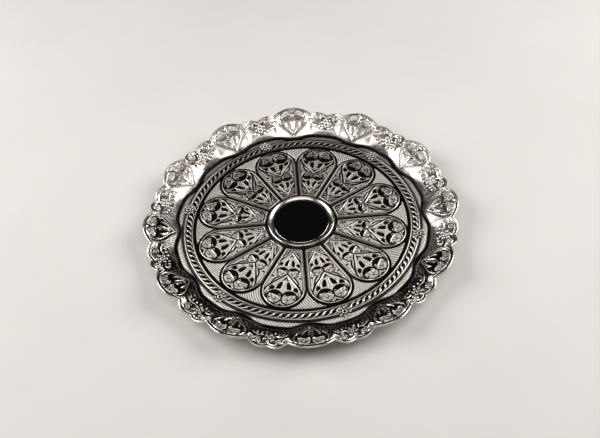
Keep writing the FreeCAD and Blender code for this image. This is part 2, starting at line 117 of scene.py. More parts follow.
class Relief:
    """Heights over points of the plate seen from above, raised and sunk as a chaser would."""

    def __init__(self, x, y, level=0.0):
        self.x, self.y = x, y
        self.height = np.zeros_like(x) + level
        self.patina_and_shade = np.zeros_like(x)
        self.matte = np.zeros_like(x)
        self.face(90)

    def face(self, degrees):
        """Turns the working frame: along points from the plate's centre in that direction."""
        turn = math.radians(degrees)
        self.across = self.x * math.sin(turn) - self.y * math.cos(turn)
        self.along = self.x * math.cos(turn) + self.y * math.sin(turn)

    def window(self, centre, reach):
        """The points near a place, and their places."""
        beside = np.abs(self.across - centre[0]) < reach[0]
        near = beside & (np.abs(self.along - centre[1]) < reach[1])
        return near, self.across[near], self.along[near]

    def trace(self, points, widths):
        """Points near a stroke, how far outside it they are, and their share of its half width."""
        path = spline(points)
        ends = np.linspace(0, 1, len(widths))
        half = np.interp(np.linspace(0, 1, len(path)), ends, widths)
        high, low = path.max(0), path.min(0)
        near, u, v = self.window((high + low) / 2, (high - low) / 2 + max(widths) + 1)
        outside, share = np.full(u.shape, 1e3), np.full(u.shape, 1e3)
        for a, b, wide_a, wide_b in zip(path[:-1], path[1:], half[:-1], half[1:]):
            run = b - a
            t = ((u - a[0]) * run[0] + (v - a[1]) * run[1]) / max(run @ run, 1e-9)
            t = np.clip(t, 0, 1)
            away = np.hypot(u - a[0] - t * run[0], v - a[1] - t * run[1])
            wide = np.maximum(wide_a + (wide_b - wide_a) * t, 0.05)
            closer = away - wide < outside
            outside = np.where(closer, away - wide, outside)
            share = np.where(closer, away / wide, share)
        return near, outside, share

    def lift(self, near, amount, top):
        """Brings the points near up towards a level, by a share from 0 to 1."""
        h = self.height[near]
        self.height[near] = h + np.maximum(0, top - h) * amount
        self.patina_and_shade[near] *= 1 - amount
        self.matte[near] *= 1 - amount

    def drop(self, near, amount, floor, dark):
        """Takes the points near down towards a level, by a share from 0 to 1, and darkens them."""
        h = self.height[near]
        self.height[near] = h - np.maximum(0, h - floor) * amount
        self.darken(dark * amount, near)

    def darken(self, amount, near=slice(None)):
        """Makes the points near at least as dark as an amount from 0 to 1."""
        self.patina_and_shade[near] = np.maximum(self.patina_and_shade[near], amount)

    def bead(self, points, widths, top):
        """A raised line with a round back."""
        near, _, share = self.trace(points, widths)
        self.lift(near, round_back(share), top)

    def cut(self, points, widths, floor, dark=1.0):
        """A sunk stroke with steep sides."""
        near, outside, _ = self.trace(points, widths)
        self.drop(near, ramp(outside, 0.25, -0.25), floor, dark)

    def oval(self, centre, radii):
        """Points near an oval, or a circle of one radius, and how far out they are: 1 on it."""
        radii = np.broadcast_to(radii, 2)
        near, u, v = self.window(centre, radii + 1)
        return near, np.hypot((u - centre[0]) / radii[0], (v - centre[1]) / radii[1])

    def dome(self, centre, radii, top):
        """A round or oval boss."""
        near, share = self.oval(centre, radii)
        self.lift(near, round_back(share), top)

    def pit(self, centre, radii, floor, dark=1.0):
        """A round or oval hollow."""
        near, share = self.oval(centre, radii)
        self.drop(near, ramp(share, 1.15, 0.6), floor, dark)

    def ring(self, centre, radii, half_width, top):
        """A raised round or oval line."""
        near, share = self.oval(centre, radii)
        self.lift(near, round_back((share - 1) * np.min(radii) / half_width), top)

    def stipple(self, amount, pitch, depth, seed, dark=1.0, matt=1.0):
        """Rows of punched grains where amount is above 0."""
        a = self.x + 0.35 * ripple(self.x, self.y, 9, seed)
        b = self.y + 0.35 * ripple(self.x, self.y, 9, seed + 1)
        grain = np.cos(2 * np.pi * a / pitch) * np.cos(2 * np.pi * b / pitch)
        self.height += depth * grain * amount
        self.darken(amount * ramp(-grain, -0.2, 0.9) * dark)
        self.matte = np.maximum(self.matte, amount * matt)

    def score(self, amount, measure, pitch, depth, dark):
        """Fine lines where amount is above 0, one for each pitch of a measure over the points."""
        wave = np.sin(2 * np.pi * measure / pitch)
        self.height += depth * wave * amount
        self.darken(amount * ramp(-wave, -0.1, 1.0) * dark)
        self.matte = np.maximum(self.matte, amount)

    def hatch(self, amount, degrees, pitch, depth, seed, dark):
        """Fine parallel lines where amount is above 0, at an angle to the motif's direction."""
        turn = math.radians(degrees)
        line = self.across * math.cos(turn) + self.along * math.sin(turn)
        sway = 0.12 * pitch * ripple(self.across, self.along, 11, seed)
        self.score(amount, line + sway, pitch, depth, dark)


# ---- motifs

# Shares of a heart's half width and length, from its point up its right side.
HEART_OUTLINE = [
    (0.0, 0.0), (0.36, 0.19), (0.65, 0.335), (0.9, 0.49), (1.0, 0.63),
    (0.97, 0.76), (0.84, 0.89), (0.58, 0.975), (0.36, 0.975), (0.19, 0.93), (0.06, 0.83),
]

# Shares of a right volute's radius: the raised lip of its leaf, and the lip's hooked end.
VOLUTE_LIP = [
    (-0.86, -0.12), (-0.62, -0.08), (-0.3, -0.13), (0.0, -0.24), (0.4, -0.38), (0.78, -0.42),
]
VOLUTE_HOOK = [(-0.86, -0.12), (-0.8, -0.34), (-0.6, -0.42), (-0.48, -0.28)]
BOWL_DEPTH = 0.8


def volute(relief, place, radius, side, ground):
    """A scroll end: a raised leaf curl on its outer half over a smooth dark bowl."""

    def at(points):
        return [(place[0] + side * x * radius, place[1] + y * radius) for x, y in points]

    near, u, v = relief.window(place, (radius + 1.5, radius + 1.5))
    x, y = side * (u - place[0]) / radius, (v - place[1]) / radius
    share = np.hypot(x, y)
    lip = 0.16 * np.cos(2.4 * (x + 0.6)) - 0.26
    inside = ramp(share, 1.03, 0.95)
    bowl = inside * ramp(y - lip, 0.05, -0.05)
    relief.drop(near, bowl, ground - BOWL_DEPTH * round_back(share, 1.08), 0.0)
    # Dark tarnish in the bowl, a little lighter in its middle as a painted highlight.
    relief.darken(bowl * (0.7 + 0.3 * ramp(share, 0.5, 0.85)), near)
    leaf = inside * ramp(y - lip, -0.03, 0.1)
    relief.lift(near, leaf * round_back(share, 1.05), ground + 0.45)
    relief.matte[near] = np.maximum(relief.matte[near], 0.9 * leaf)
    ribs = np.sin(13 * np.hypot(x + 0.9, y + 0.3) + 1.0)
    relief.height[near] += 0.1 * ribs * leaf
    relief.darken(leaf * (0.2 + 0.32 * ramp(-ribs, 0.1, 1.0)), near)
    relief.drop(near, ramp(np.abs(share - 1.06), 0.18, 0.1), ground - 0.5, 1.0)
    relief.bead(at(VOLUTE_LIP), [0.25, 0.5, 0.5, 0.4, 0.2], ground + 0.9)
    relief.bead(at(VOLUTE_HOOK), [0.25, 0.4, 0.4, 0.25], ground + 0.5)
    nick = 0.085 * radius
    relief.cut(at([(-0.2, 0.36), (-0.04, 0.5)]), [1.3 * nick, 0.9 * nick], ground - 0.3)
    relief.cut(at([(0.58, 0.1), (0.8, 0.2)]), [nick, 1.2 * nick], ground - 0.3)


def heart(
    relief, point, half_width, length, volute_row, volute_radius, ground, rng,
    leaf=(0.42, 0.28), ridge=0.65, moat=False,
):
    """A heart with its point inwards, two volutes at its wide end and a palmette under them.

    The volutes' row and the palmette's leaf (its top and tip) are shares of the length, and the
    volutes' radius is a share of the half width. A moat is a groove round the wide end.
    """

    def at(side, *places):
        return [(side * x * half_width, point + y * length) for x, y in places]

    def widths(*shares):
        return [share * half_width / 16 for share in shares]

    def jog():
        return rng.uniform(-0.015, 0.015)

    line = 0.26 + 0.018 * half_width
    top, tip = leaf
    middle = (top + tip) / 2
    for side in (-1, 1):
        outline = at(side, *((x + jog() * 0.5, y) for x, y in HEART_OUTLINE))
        inner = [(u - side * 2.1 * line, v - 0.6 * line) for u, v in outline[3:-1]]
        outer = [(u + side * 1.9 * line, v - 1.7 * line) for u, v in outline[:5]]
        relief.cut(outer, widths(0.5, 0.85, 1.05, 0.8, 0.5), ground - 0.5)
        if moat:
            around = [(u + side * 1.8 * line, v + 1.2 * line) for u, v in outline[3:]]
            relief.cut(around, widths(0.6, 0.75, 0.6), ground - 0.5)
        relief.cut(inner, widths(0.2, 0.6, 0.6, 0.4), ground - 0.4)
        place = at(side, (0.44 + jog(), volute_row))[0]
        volute(relief, place, volute_radius * half_width, side, ground)
        lean = 0.02 * rng.uniform(-1, 1)
        wedge = at(side, (0.285 + lean, top), (0.245, middle), (0.18 + lean, tip))
        relief.cut(wedge, widths(2.16, 2.0, 1.36), ground - 0.75)
        toe = at(side, (0.21 + lean, top + 0.03), (0.39 + lean, top + 0.05))
        relief.cut(toe, widths(0.96, 0.8), ground - 0.6)
        stem = at(side, (0.12, top + 0.08), (0.1, middle), (0.075, tip - 0.06))
        relief.bead(stem, widths(0.35, 0.35), ground + 0.35)
        leaf_edge = at(side, (0.5, top + 0.05), (0.42, middle), (0.28, tip - 0.05))
        relief.bead(leaf_edge, widths(0.5, 0.6, 0.35), ground + 0.4)
        hollow = at(side, (0.68 + jog(), 0.46))[0]
        relief.pit(hollow, widths(2.8, 2.4), ground - 0.6)
        comma = at(side, (0.62, 0.5), (0.76, 0.52), (0.86, 0.56))
        relief.cut(comma, widths(0.8, 0.7, 0.2), ground - 0.55)
        lid = at(side, (0.88, 0.58), (0.89, 0.5), (0.82, 0.42))
        relief.bead(lid, widths(0.2, 0.45, 0.2), ground + 0.35)
        relief.bead(outline, [line] * 2, ground + ridge)
    chevron = at(1, (-0.125, 0.175), (0, 0.085), (0.125, 0.175))
    relief.cut(chevron[:2], widths(0.55, 0.85), ground - 0.5, 0.95)
    relief.cut(chevron[1:], widths(0.85, 0.55), ground - 0.5, 0.95)


def flower(relief, centre, radius, petals, ground, turn=0.0):
    """A small round flower: round petals round a ringed eye."""
    relief.pit(centre, 1.12 * radius, ground - 0.35, 0.85)
    out = 0.68 * radius
    for k in range(petals):
        angle = turn + 2 * math.pi * k / petals
        place = (centre[0] + out * math.cos(angle), centre[1] + out * math.sin(angle))
        relief.dome(place, 0.29 * radius, ground + 0.65)
        relief.pit(place, 0.1 * radius, ground + 0.1, 0.9)
    relief.dome(centre, 0.36 * radius, ground + 0.8)
    relief.pit(centre, 0.15 * radius, ground + 0.1, 0.9)


# ---- meshes


def add_object(name, data):
    thing = bpy.data.objects.new(name, data)
    bpy.context.scene.collection.objects.link(thing)
    return thing


def add_piece(name, node, material, points, faces, patina_and_shade, matte, caps, sharp=50):
    """A mesh of quads between points in mm, on the plate's one body in place of a CAD node.

    Patina, with painted shade in places, and matte say how dark and how matt each point is.
    Edges that turn by more than the sharp angle, in degrees, are shaded as edges.
    """
    mesh = bpy.data.meshes.new(name)
    faces = [tuple(face) for face in faces.tolist() + list(caps)]
    mesh.from_pydata((points.reshape(-1, 3) * MM).tolist(), [], faces)
    mesh.validate()
    mesh.polygons.foreach_set("use_smooth", [True] * len(mesh.polygons))
    mesh.set_sharp_from_angle(angle=math.radians(sharp))
    for kind, values in (("patina_and_shade", patina_and_shade), ("matte", matte)):
        if values is not None:
            layer = mesh.attributes.new(kind, "FLOAT", "POINT")
            layer.data.foreach_set("value", np.clip(values, 0, 1).astype(np.float32).ravel())
    mesh.materials.append(material)
    piece = add_object(name, mesh)
    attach(piece, "root")
    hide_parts(node)


def add_rings(name, node, material, points, patina_and_shade, matte=None, sharp=50, closed=True):
    """A piece from rings of points, whose last ring meets the first unless both are capped."""
    rows, columns = points.shape[:2]
    row = np.arange(rows if closed else rows - 1)[:, None]
    column = np.arange(columns)
    above, after = (row + 1) % rows, (column + 1) % columns
    a, b = row * columns + column, row * columns + after
    c, d = above * columns + after, above * columns + column
    faces = np.stack([a, b, c, d], -1).reshape(-1, 4)
    caps = () if closed else [column[::-1].tolist(), ((rows - 1) * columns + column).tolist()]
    add_piece(name, node, material, points, faces, patina_and_shade, matte, caps, sharp)


def turns(columns):
    """Angles of evenly spaced points round the plate."""
    return np.linspace(0, 2 * np.pi, columns, endpoint=False)


def polar(radii, columns):
    """Plan places of rings of points: rows of rising radius, columns round the plate."""
    angle = turns(columns)
    radius = np.asarray(radii, float)[:, None]
    return radius * np.cos(angle), radius * np.sin(angle), angle + 0 * radius


# ---- materials


def new_material(name):
    """A material with its node tree and its shader."""
    material = bpy.data.materials.new(name)
    material.use_nodes = True
    tree = material.node_tree
    return material, tree, tree.nodes["Principled BSDF"]


def set_inputs(node, values):
    for name, value in values.items():
        node.inputs[name].default_value = value


def noise(tree, scale, detail=4.0, roughness=0.6):
    """Noise in the piece's own space, with about scale features to a metre."""
    coordinates = tree.nodes.new("ShaderNodeTexCoord")
    texture = tree.nodes.new("ShaderNodeTexNoise")
    set_inputs(texture, {"Scale": scale, "Detail": detail, "Roughness": roughness})
    tree.links.new(coordinates.outputs["Object"], texture.inputs["Vector"])
    return texture.outputs["Fac"]


def remap(tree, value, low, high, to_low, to_high):
    """A value spread from one range to another."""
    node = tree.nodes.new("ShaderNodeMapRange")
    set_inputs(node, {"From Min": low, "From Max": high, "To Min": to_low, "To Max": to_high})
    tree.links.new(value, node.inputs["Value"])
    return node.outputs["Result"]


def combine(tree, operation, first, second):
    """Arithmetic on two sockets, or on a socket and a number."""
    node = tree.nodes.new("ShaderNodeMath")
    node.operation = operation
    node.use_clamp = operation in ("ADD", "MULTIPLY")
    for socket, value in zip(node.inputs, (first, second)):
        if isinstance(value, (int, float)):
            socket.default_value = value
        else:
            tree.links.new(value, socket)
    return node.outputs["Value"]


def mix_colours(tree, factor, low, high):
    """A colour between two, each a socket or a plain colour."""
    node = tree.nodes.new("ShaderNodeMix")
    node.data_type = "RGBA"
    tree.links.new(factor, node.inputs["Factor"])
    for socket, colour in ((node.inputs[6], low), (node.inputs[7], high)):
        if isinstance(colour, tuple):
            socket.default_value = (*colour, 1)
        else:
            tree.links.new(colour, socket)
    return node.outputs[2]


SILVER = (0.82, 0.79, 0.75)
WARM_SILVER = (0.74, 0.68, 0.62)
TARNISH_AND_SHADE = (0.009, 0.007, 0.004)
TARNISH_RANGE = (0.1, 0.72)
DULLEST, MATTEST = 0.22, 0.3
MIRROR_SILVER = (0.86, 0.84, 0.81)
WARM_MIRROR_SILVER = (0.78, 0.74, 0.7)
STUDIO_PALE, STUDIO_PALER = (0.7, 0.69, 0.67), (0.74, 0.73, 0.71)


def silver_material(name, polish, tarnish, grain):
    """Silver with dark tarnish in its recesses, painted shade, faint warm staining and small
    scratches.

    Polish is its lowest roughness, tarnish the depth of its darks, painted shade included, grain
    the scratches' strength.
    """
    material, tree, shader = new_material(name)
    patina_and_shade_attribute = tree.nodes.new("ShaderNodeAttribute")
    patina_and_shade_attribute.attribute_name = "patina_and_shade"
    stain = remap(tree, noise(tree, 45), 0.45, 0.75, 0, 1)
    speck = remap(tree, noise(tree, 900, 3), 0.35, 0.75, -0.08, 0.16)
    dark = combine(tree, "ADD", patina_and_shade_attribute.outputs["Fac"], speck)
    dark = combine(tree, "MULTIPLY", remap(tree, dark, *TARNISH_RANGE, 0, 1), tarnish)
    clean = mix_colours(tree, stain, SILVER, WARM_SILVER)
    tree.links.new(mix_colours(tree, dark, clean, TARNISH_AND_SHADE), shader.inputs["Base Color"])
    punched = tree.nodes.new("ShaderNodeAttribute")
    punched.attribute_name = "matte"
    shine = remap(tree, noise(tree, 260, 5), 0.3, 0.7, polish, polish + 0.14)
    dull = remap(tree, dark, 0, 1, 0, DULLEST)
    matt = remap(tree, punched.outputs["Fac"], 0, 1, 0, MATTEST)
    dull = combine(tree, "MAXIMUM", dull, matt)
    tree.links.new(combine(tree, "ADD", shine, dull), shader.inputs["Roughness"])
    set_inputs(shader, {"Metallic": 1.0})
    bump = tree.nodes.new("ShaderNodeBump")
    set_inputs(bump, {"Strength": grain, "Distance": 0.0003})
    tree.links.new(noise(tree, 1400, 4, 0.7), bump.inputs["Height"])
    tree.links.new(bump.outputs["Normal"], shader.inputs["Normal"])
    return material


def mirror_material():
    """Polished silver with fine swirl marks."""
    material, tree, shader = new_material("polished_silver")
    stain = remap(tree, noise(tree, 60), 0.45, 0.8, 0, 0.6)
    colour = mix_colours(tree, stain, MIRROR_SILVER, WARM_MIRROR_SILVER)
    tree.links.new(colour, shader.inputs["Base Color"])
    swirls = remap(tree, noise(tree, 500, 6), 0.3, 0.75, 0.035, 0.1)
    tree.links.new(swirls, shader.inputs["Roughness"])
    set_inputs(shader, {"Metallic": 1.0})
    return material


def floor_material():
    """The studio's pale matt floor, very slightly uneven in colour."""
    material, tree, shader = new_material("studio_floor")
    mottle = remap(tree, noise(tree, 6), 0.3, 0.7, 0, 1)
    colour = mix_colours(tree, mottle, STUDIO_PALE, STUDIO_PALER)
    tree.links.new(colour, shader.inputs["Base Color"])
    set_inputs(shader, {"Roughness": 0.85})
    return material


# ---- petal panels


def panel_shape(node, turn):
    """A panel's inner end, inner half width, round radius and round centre, from its CAD node."""
    co = np.array([v.co[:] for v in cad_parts[node].data.vertices]) / MM
    angle = math.radians(turn)
    along = co[:, 0] * math.cos(angle) + co[:, 1] * math.sin(angle)
    across = co[:, 0] * math.sin(angle) - co[:, 1] * math.cos(angle)
    inner = along.min()
    half = np.abs(across[along < inner + 0.05]).max()
    radius = np.abs(across).max()
    return inner, half, radius, along.max() - radius


class Panel:
    """A petal panel's outline: a round outer end and straight sides to a narrow inner end."""

    def __init__(self, inner, half, radius, centre):
        self.inner, self.half, self.radius, self.centre = inner, half, radius, centre
        reach = math.hypot(half, centre - inner)
        lean = math.atan2(centre - inner, -half) - math.asin(radius / reach)
        self.side = np.array([math.cos(lean), math.sin(lean)])
        self.out = np.array([self.side[1], -self.side[0]])
        self.touch = np.array([0, centre]) + self.out * radius

    def inside(self, relief):
        """How far inside the outline the points of a relief are, in its working frame."""
        u, v = np.abs(relief.across), relief.along
        beside = (self.touch[0] - u) * self.out[0] + (self.touch[1] - v) * self.out[1]
        past = (u - self.touch[0]) * self.side[0] + (v - self.touch[1]) * self.side[1]
        cap = self.radius - np.hypot(u, v - self.centre)
        return np.minimum(np.where(past > 0, cap, beside), v - self.inner)

    def grid(self, rows, columns):
        """Across and along of places on the panel, in rows from its inner end to its round end."""
        fan = (np.pi / 2 - math.atan2(self.out[1], self.out[0])) * np.linspace(-1, 1, columns)
        foot = np.stack([self.half * np.linspace(-1, 1, columns), np.full(columns, self.inner)], -1)
        cap = np.stack([self.radius * np.sin(fan), self.centre + self.radius * np.cos(fan)], -1)
        t = np.linspace(0, 1, rows)[:, None, None]
        return np.moveaxis(foot + (cap - foot) * t, -1, 0)


PANEL_GROUND = 0.95
PANELS_WITH_FLOWER = (6, 12)
HATCH_ANGLES = [-62, -30, 35, 62]
# Point, half width, length, volutes' row and volutes' radius.
LARGE_HEART = (65.4, 16.0, 31.6, 0.775, 0.405)
SMALL_HEART = (39.6, 11.6, 28.4, 0.8, 0.43)
SHORT_SMALL_HEART = (44.5, 11.4, 23.6, 0.8, 0.43)

HOOK_WIDTHS, CURL_WIDTHS = [0.25, 0.45, 0.5, 0.45, 0.35], [0.3, 0.5, 0.5, 0.45, 0.35]
# Strokes on each half of a panel, in the order they are worked: their points on the right side,
# half widths, and level above the ground (a raised line) or below it (a groove).
PANEL_STROKES = [
    # hollow beside the large heart's point, and the leaf over it
    ([(12.9, 75.0), (11.0, 71.4), (8.6, 68.8), (6.6, 67.4)], [0.3, 0.95, 0.95, 0.3], -0.6),
    ([(11.6, 74.4), (9.6, 71.6), (7.2, 69.4), (5.4, 68.2)], [0.2, 0.75, 0.75, 0.25], 0.65),
    # slip beside the small heart, and the hollow at the panel's foot
    ([(10.9, 52.0), (9.6, 48.6), (7.0, 45.0)], [0.2, 0.85, 0.3], -0.6),
    ([(7.6, 43.6), (6.0, 40.6), (3.6, 38.4), (0.8, 37.6)], [0.5, 1.5, 1.5, 0.5], -0.6),
    # hook and curl in that hollow
    ([(5, 43.2), (6.6, 42.2), (6.9, 40.4), (5.6, 39.6), (4.9, 40.6)], HOOK_WIDTHS, 0.6),
    ([(4.6, 37), (3.6, 38.9), (1.9, 38.7), (1.8, 37.4), (2.7, 37.2)], CURL_WIDTHS, 0.6),
]


def emboss_panel(relief, panel, has_flower, rng):
    """The relief of one petal panel, in the relief's present working frame."""
    inside = panel.inside(relief)
    ground = PANEL_GROUND
    relief.height[:] = ground
    field = ramp(inside, 2.2, 2.8)
    relief.hatch(field, rng.choice(HATCH_ANGLES), 1.8, 0.12, rng.integers(1000), 0.55)
    small_heart = SHORT_SMALL_HEART if has_flower else SMALL_HEART
    heart(relief, *small_heart, ground, rng, (0.48, 0.31))
    heart(relief, *LARGE_HEART, ground, rng)
    for side in (-1, 1):
        relief.pit((side * 12.6, 67.4 + rng.uniform(-0.4, 0.4)), (1.3, 1.1), ground - 0.6)
        for points, widths, level in PANEL_STROKES:
            work = relief.bead if level > 0 else relief.cut
            work(mirrored(side, points), widths, ground + level)
    relief.cut([(-1.9, 97.6), (0, 98.2), (1.9, 97.6)], [0.4, 1.0, 0.4], ground - 0.6)
    relief.cut([(0, 98.0), (0, 96.2)], [0.7, 0.35], ground - 0.6)
    if has_flower:
        flower(relief, (0, 40.4), 4.4, 7, ground, 0.3)
    everywhere = slice(None)
    relief.lift(everywhere, round_back((inside - 0.75) / 0.62), ground + 0.5)
    rounded = ramp(relief.along, panel.centre - 8, panel.centre + 4)
    groove = ramp(np.abs(inside - 1.78), 0.68, 0.3) * (0.6 + 0.4 * rounded)
    relief.drop(everywhere, groove, ground - 0.45, 0.95)
    # painted shade: the far petals are darkened
    relief.patina_and_shade += 0.2 * far_side_painted_shade(relief.x, relief.y)
    skirt = ramp(inside, 0.35, 0.0)
    relief.height -= skirt * 0.45
    relief.darken(skirt)


def make_petal_panels(material):
    """Twelve panels, each a grid over its outline with walls down to the floor plate."""
    rng = np.random.default_rng(SEED)
    rows, columns = 190, 150
    index = np.arange(rows * columns).reshape(rows, columns)
    corners = [index[:-1, :-1], index[:-1, 1:], index[1:, 1:], index[1:, :-1]]
    quads = np.stack(corners, -1).reshape(-1, 4)
    loop = np.concatenate([index[0, :-1], index[:-1, -1], index[-1, :0:-1], index[:0:-1, 0]])
    below = rows * columns + np.arange(len(loop))
    walls = np.stack([np.roll(loop, -1), loop, below, np.roll(below, -1)], -1)
    faces = np.vstack([quads, walls])
    for number in range(1, PETALS + 1):
        node = f"petal_panel_{number:02d}"
        turn = SECTOR * (number - 0.5)
        panel = Panel(*panel_shape(node, turn))
        across, along = panel.grid(rows, columns)
        angle = math.radians(turn)
        x = across * math.sin(angle) + along * math.cos(angle)
        y = -across * math.cos(angle) + along * math.sin(angle)
        relief = Relief(x, y)
        relief.face(turn)
        emboss_panel(relief, panel, number in PANELS_WITH_FLOWER, rng)
        top = np.stack([x, y, FLOOR_TOP + relief.height], -1).reshape(-1, 3)
        foot = top[loop] * (1, 1, 0) + (0, 0, FLOOR_TOP)
        patina_and_shade = np.append(relief.patina_and_shade, np.ones(len(loop)))
        matte = np.append(relief.matte, np.zeros(len(loop)))
        add_piece(
            f"embossed_{node}", node, material,
            np.vstack([top, foot]), faces, patina_and_shade, matte, [below[::-1].tolist()],
        )


# ---- rim shape

rim_high = span("rim_border")[1]
LOBE_TIP_RADIUS, LOBE_TIP_HEIGHT = rim_high[0], rim_high[2] - FLOOR_TOP
LOBE_NOTCH_RADIUS, LOBE_NOTCH_HEIGHT = 141.9, 11.9
GAP_NOTCH_RADIUS, GAP_NOTCH_HEIGHT = 143.8, 7.7
SMALL_LOBE_BULGE = 3.4
LOBE_HALF, SEAM_HALF = 8.0, 10.5  # degrees
SEAM_RADIUS_LOBE, SEAM_RADIUS_GAP = 117.0, 121.6
RIM_THICK, RIM_SEAT = 1.0, 1.6
# Poles of the rim's section, as shares of its run and its rise from the seat to the edge.
RIM_PROFILE = [(0.0, 0.0), (0.1, 0.06), (0.28, 0.36), (0.55, 0.66), (0.8, 0.86), (1.0, 1.0)]


def turn_from_lobe(angle):
    """Degrees from the middle of the nearest large lobe, without a sign."""
    degrees = np.degrees(angle)
    return np.abs((degrees + SECTOR / 2) % SECTOR - SECTOR / 2)


def rim_seam(angle):
    """Radius of the wavy line where the rim leaves the floor."""
    nearness = np.cos(np.pi / 2 * np.minimum(1, turn_from_lobe(angle) / SEAM_HALF)) ** 2
    return SEAM_RADIUS_GAP + (SEAM_RADIUS_LOBE - SEAM_RADIUS_GAP) * nearness


def rim_edge(angle):
    """Radius and height above the floor of the rim's outline."""
    turn = turn_from_lobe(angle)
    large = turn <= LOBE_HALF
    swell = 1 - (turn / LOBE_HALF) ** 2
    share = (turn - LOBE_HALF) / (SECTOR / 2 - LOBE_HALF)
    bulge = SMALL_LOBE_BULGE * 4 * share * (1 - share)

    def outline(tip, notch, gap_notch):
        return np.where(large, notch + (tip - notch) * swell, notch + (gap_notch - notch) * share)

    radius = outline(LOBE_TIP_RADIUS, LOBE_NOTCH_RADIUS, GAP_NOTCH_RADIUS)
    height = outline(LOBE_TIP_HEIGHT, LOBE_NOTCH_HEIGHT, GAP_NOTCH_HEIGHT)
    return radius + np.where(large, 0, bulge), height


def spline_weights(count, places):
    """Share of each of the poles of a clamped cubic B-spline at places from 0 to 1."""
    knots = np.concatenate([[0] * 3, np.linspace(0, 1, count - 2), [1] * 3])
    t = np.clip(places, 0, 1 - 1e-9)
    basis = [((knots[i] <= t) & (t < knots[i + 1])).astype(float) for i in range(len(knots) - 1)]
    for degree in (1, 2, 3):
        raised = []
        for i in range(len(basis) - 1):
            rise = (t - knots[i]) / (knots[i + degree] - knots[i] or 1)
            fall = (knots[i + degree + 1] - t) / (knots[i + degree + 1] - knots[i + 1] or 1)
            raised.append(rise * basis[i] + fall * basis[i + 1])
        basis = raised
    return np.stack(basis, 1)


def rim_surface(places, angle):
    """Points of the rim's upper side above the floor, from its seat (0) to its edge (1)."""
    weights = spline_weights(len(RIM_PROFILE), places)
    out, up = (weights @ np.array(RIM_PROFILE)).T
    edge_r, edge_z = rim_edge(angle)
    start = rim_seam(angle) + RIM_SEAT
    radius = start + np.outer(out, edge_r - start)
    height = RIM_THICK + np.outer(up, edge_z - RIM_THICK)
    return radius, height


# ---- floor

# Pairs of radii are the start and the end of a step.
MOAT_DARK = 0.86
ISLAND_HEIGHT, ISLAND_OUTER = 0.75, (101.2, 100.6)
STRIP_INNER, STRIP_FIELD = (114.8, 115.6), (115.4, 116.8)
STRIP_LINE = 113.7
UNDER_RADII = np.array([2, 30, 60, 90, 110, FLOOR_RADIUS - 0.3])
FLOOR_RADII = np.concatenate([
    [2, 12, 22, 30], np.arange(34, 82, 1.2), np.arange(82, 101.5, 0.42),
    [102, 103, 104, 105, 108, 111, 112.5], np.arange(113.4, 122.4, 0.42), [123.4, FLOOR_RADIUS],
])


def emboss_islands(relief, radius, panel):
    """Dark moats round the petals, and a textured island between each two round ends."""
    gap = np.full_like(radius, 1e3)
    for k in range(PETALS):
        relief.face(SECTOR * (k + 0.5))
        gap = np.minimum(gap, -panel.inside(relief))
    shoulder = ramp(gap, 1.0, 0.4) * ramp(gap, -1.5, -0.5) * ramp(radius, 90, 78)
    relief.height += 0.5 * shoulder
    relief.patina_and_shade[:] = MOAT_DARK - 0.36 * shoulder
    for k in range(PETALS):
        relief.face(SECTOR * k)
        here = (np.abs(relief.across) < 26) & (relief.along > 60)
        island = here * ramp(gap, 2.0, 2.6) * ramp(radius, *ISLAND_OUTER)
        relief.height += island * ISLAND_HEIGHT
        relief.patina_and_shade *= 1 - island
        if k % 3 == 0:
            relief.hatch(island, 42 - 5 * (k % 2), 2.0, 0.28, 20 + k, 0.95)
        elif k % 3 == 1:
            relief.stipple(island, 2.3, 0.32, 20 + k)
        else:
            relief.face(SECTOR * (k + 0.5))
            beside = -panel.inside(relief)
            sway = 0.15 * ripple(relief.x, relief.y, 9, 20 + k)
            relief.score(island, beside + sway, 2.0, 0.28, 0.95)


def emboss_strip(relief, radius, seam):
    """Outside the border: a plain line, and a grained strip with painted shade at the rim's seam
    and on the far side.
    """
    to_seam = seam - radius
    strip = ramp(radius, *STRIP_INNER)
    field = strip * ramp(to_seam, 1.0, 4.2) * ramp(seam - STRIP_INNER[1], 1.6, 4.0)
    relief.height += field * 0.45
    # painted shade: the ungrained parts of the strip, mostly by the rim's seam, and the far side
    # are darkened
    shade = 0.48 * (1 - field) + 0.38 * far_side_painted_shade(relief.x, relief.y)
    relief.patina_and_shade = relief.patina_and_shade * (1 - strip) + strip * shade
    # painted shade in the crease where the rim rises from the floor
    relief.darken(strip * ramp(to_seam, 3.0, 0.5))
    relief.stipple(field * ramp(radius, *STRIP_FIELD), 2.5, 0.34, 40)
    line = ramp(np.abs(radius - STRIP_LINE), 0.35, 0.1)
    relief.height += line * 0.55
    relief.patina_and_shade *= 1 - 0.5 * line


def make_floor(material):
    """The round floor sheet, worked between and outside the petals."""
    columns = 1320
    x, y, angle = polar(FLOOR_RADII, columns)
    relief = Relief(x, y)
    radius = FLOOR_RADII[:, None] + 0 * x
    emboss_islands(relief, radius, Panel(*panel_shape("petal_panel_01", SECTOR / 2)))
    emboss_strip(relief, radius, rim_seam(angle))
    top = np.stack([x, y, FLOOR_TOP + relief.height], -1)[::-1]
    x, y, _ = polar(UNDER_RADII, columns)
    under = np.stack([x, y, np.full_like(x, FLOOR_UNDER)], -1)
    patina_and_shade = np.vstack([0.12 + 0 * x, relief.patina_and_shade[::-1]])
    matte = np.vstack([0 * x, relief.matte[::-1]])
    add_rings(
        "matted_floor", "floor_plate", material,
        np.concatenate([under, top]), patina_and_shade, matte, closed=False,
    )


# ---- twisted border

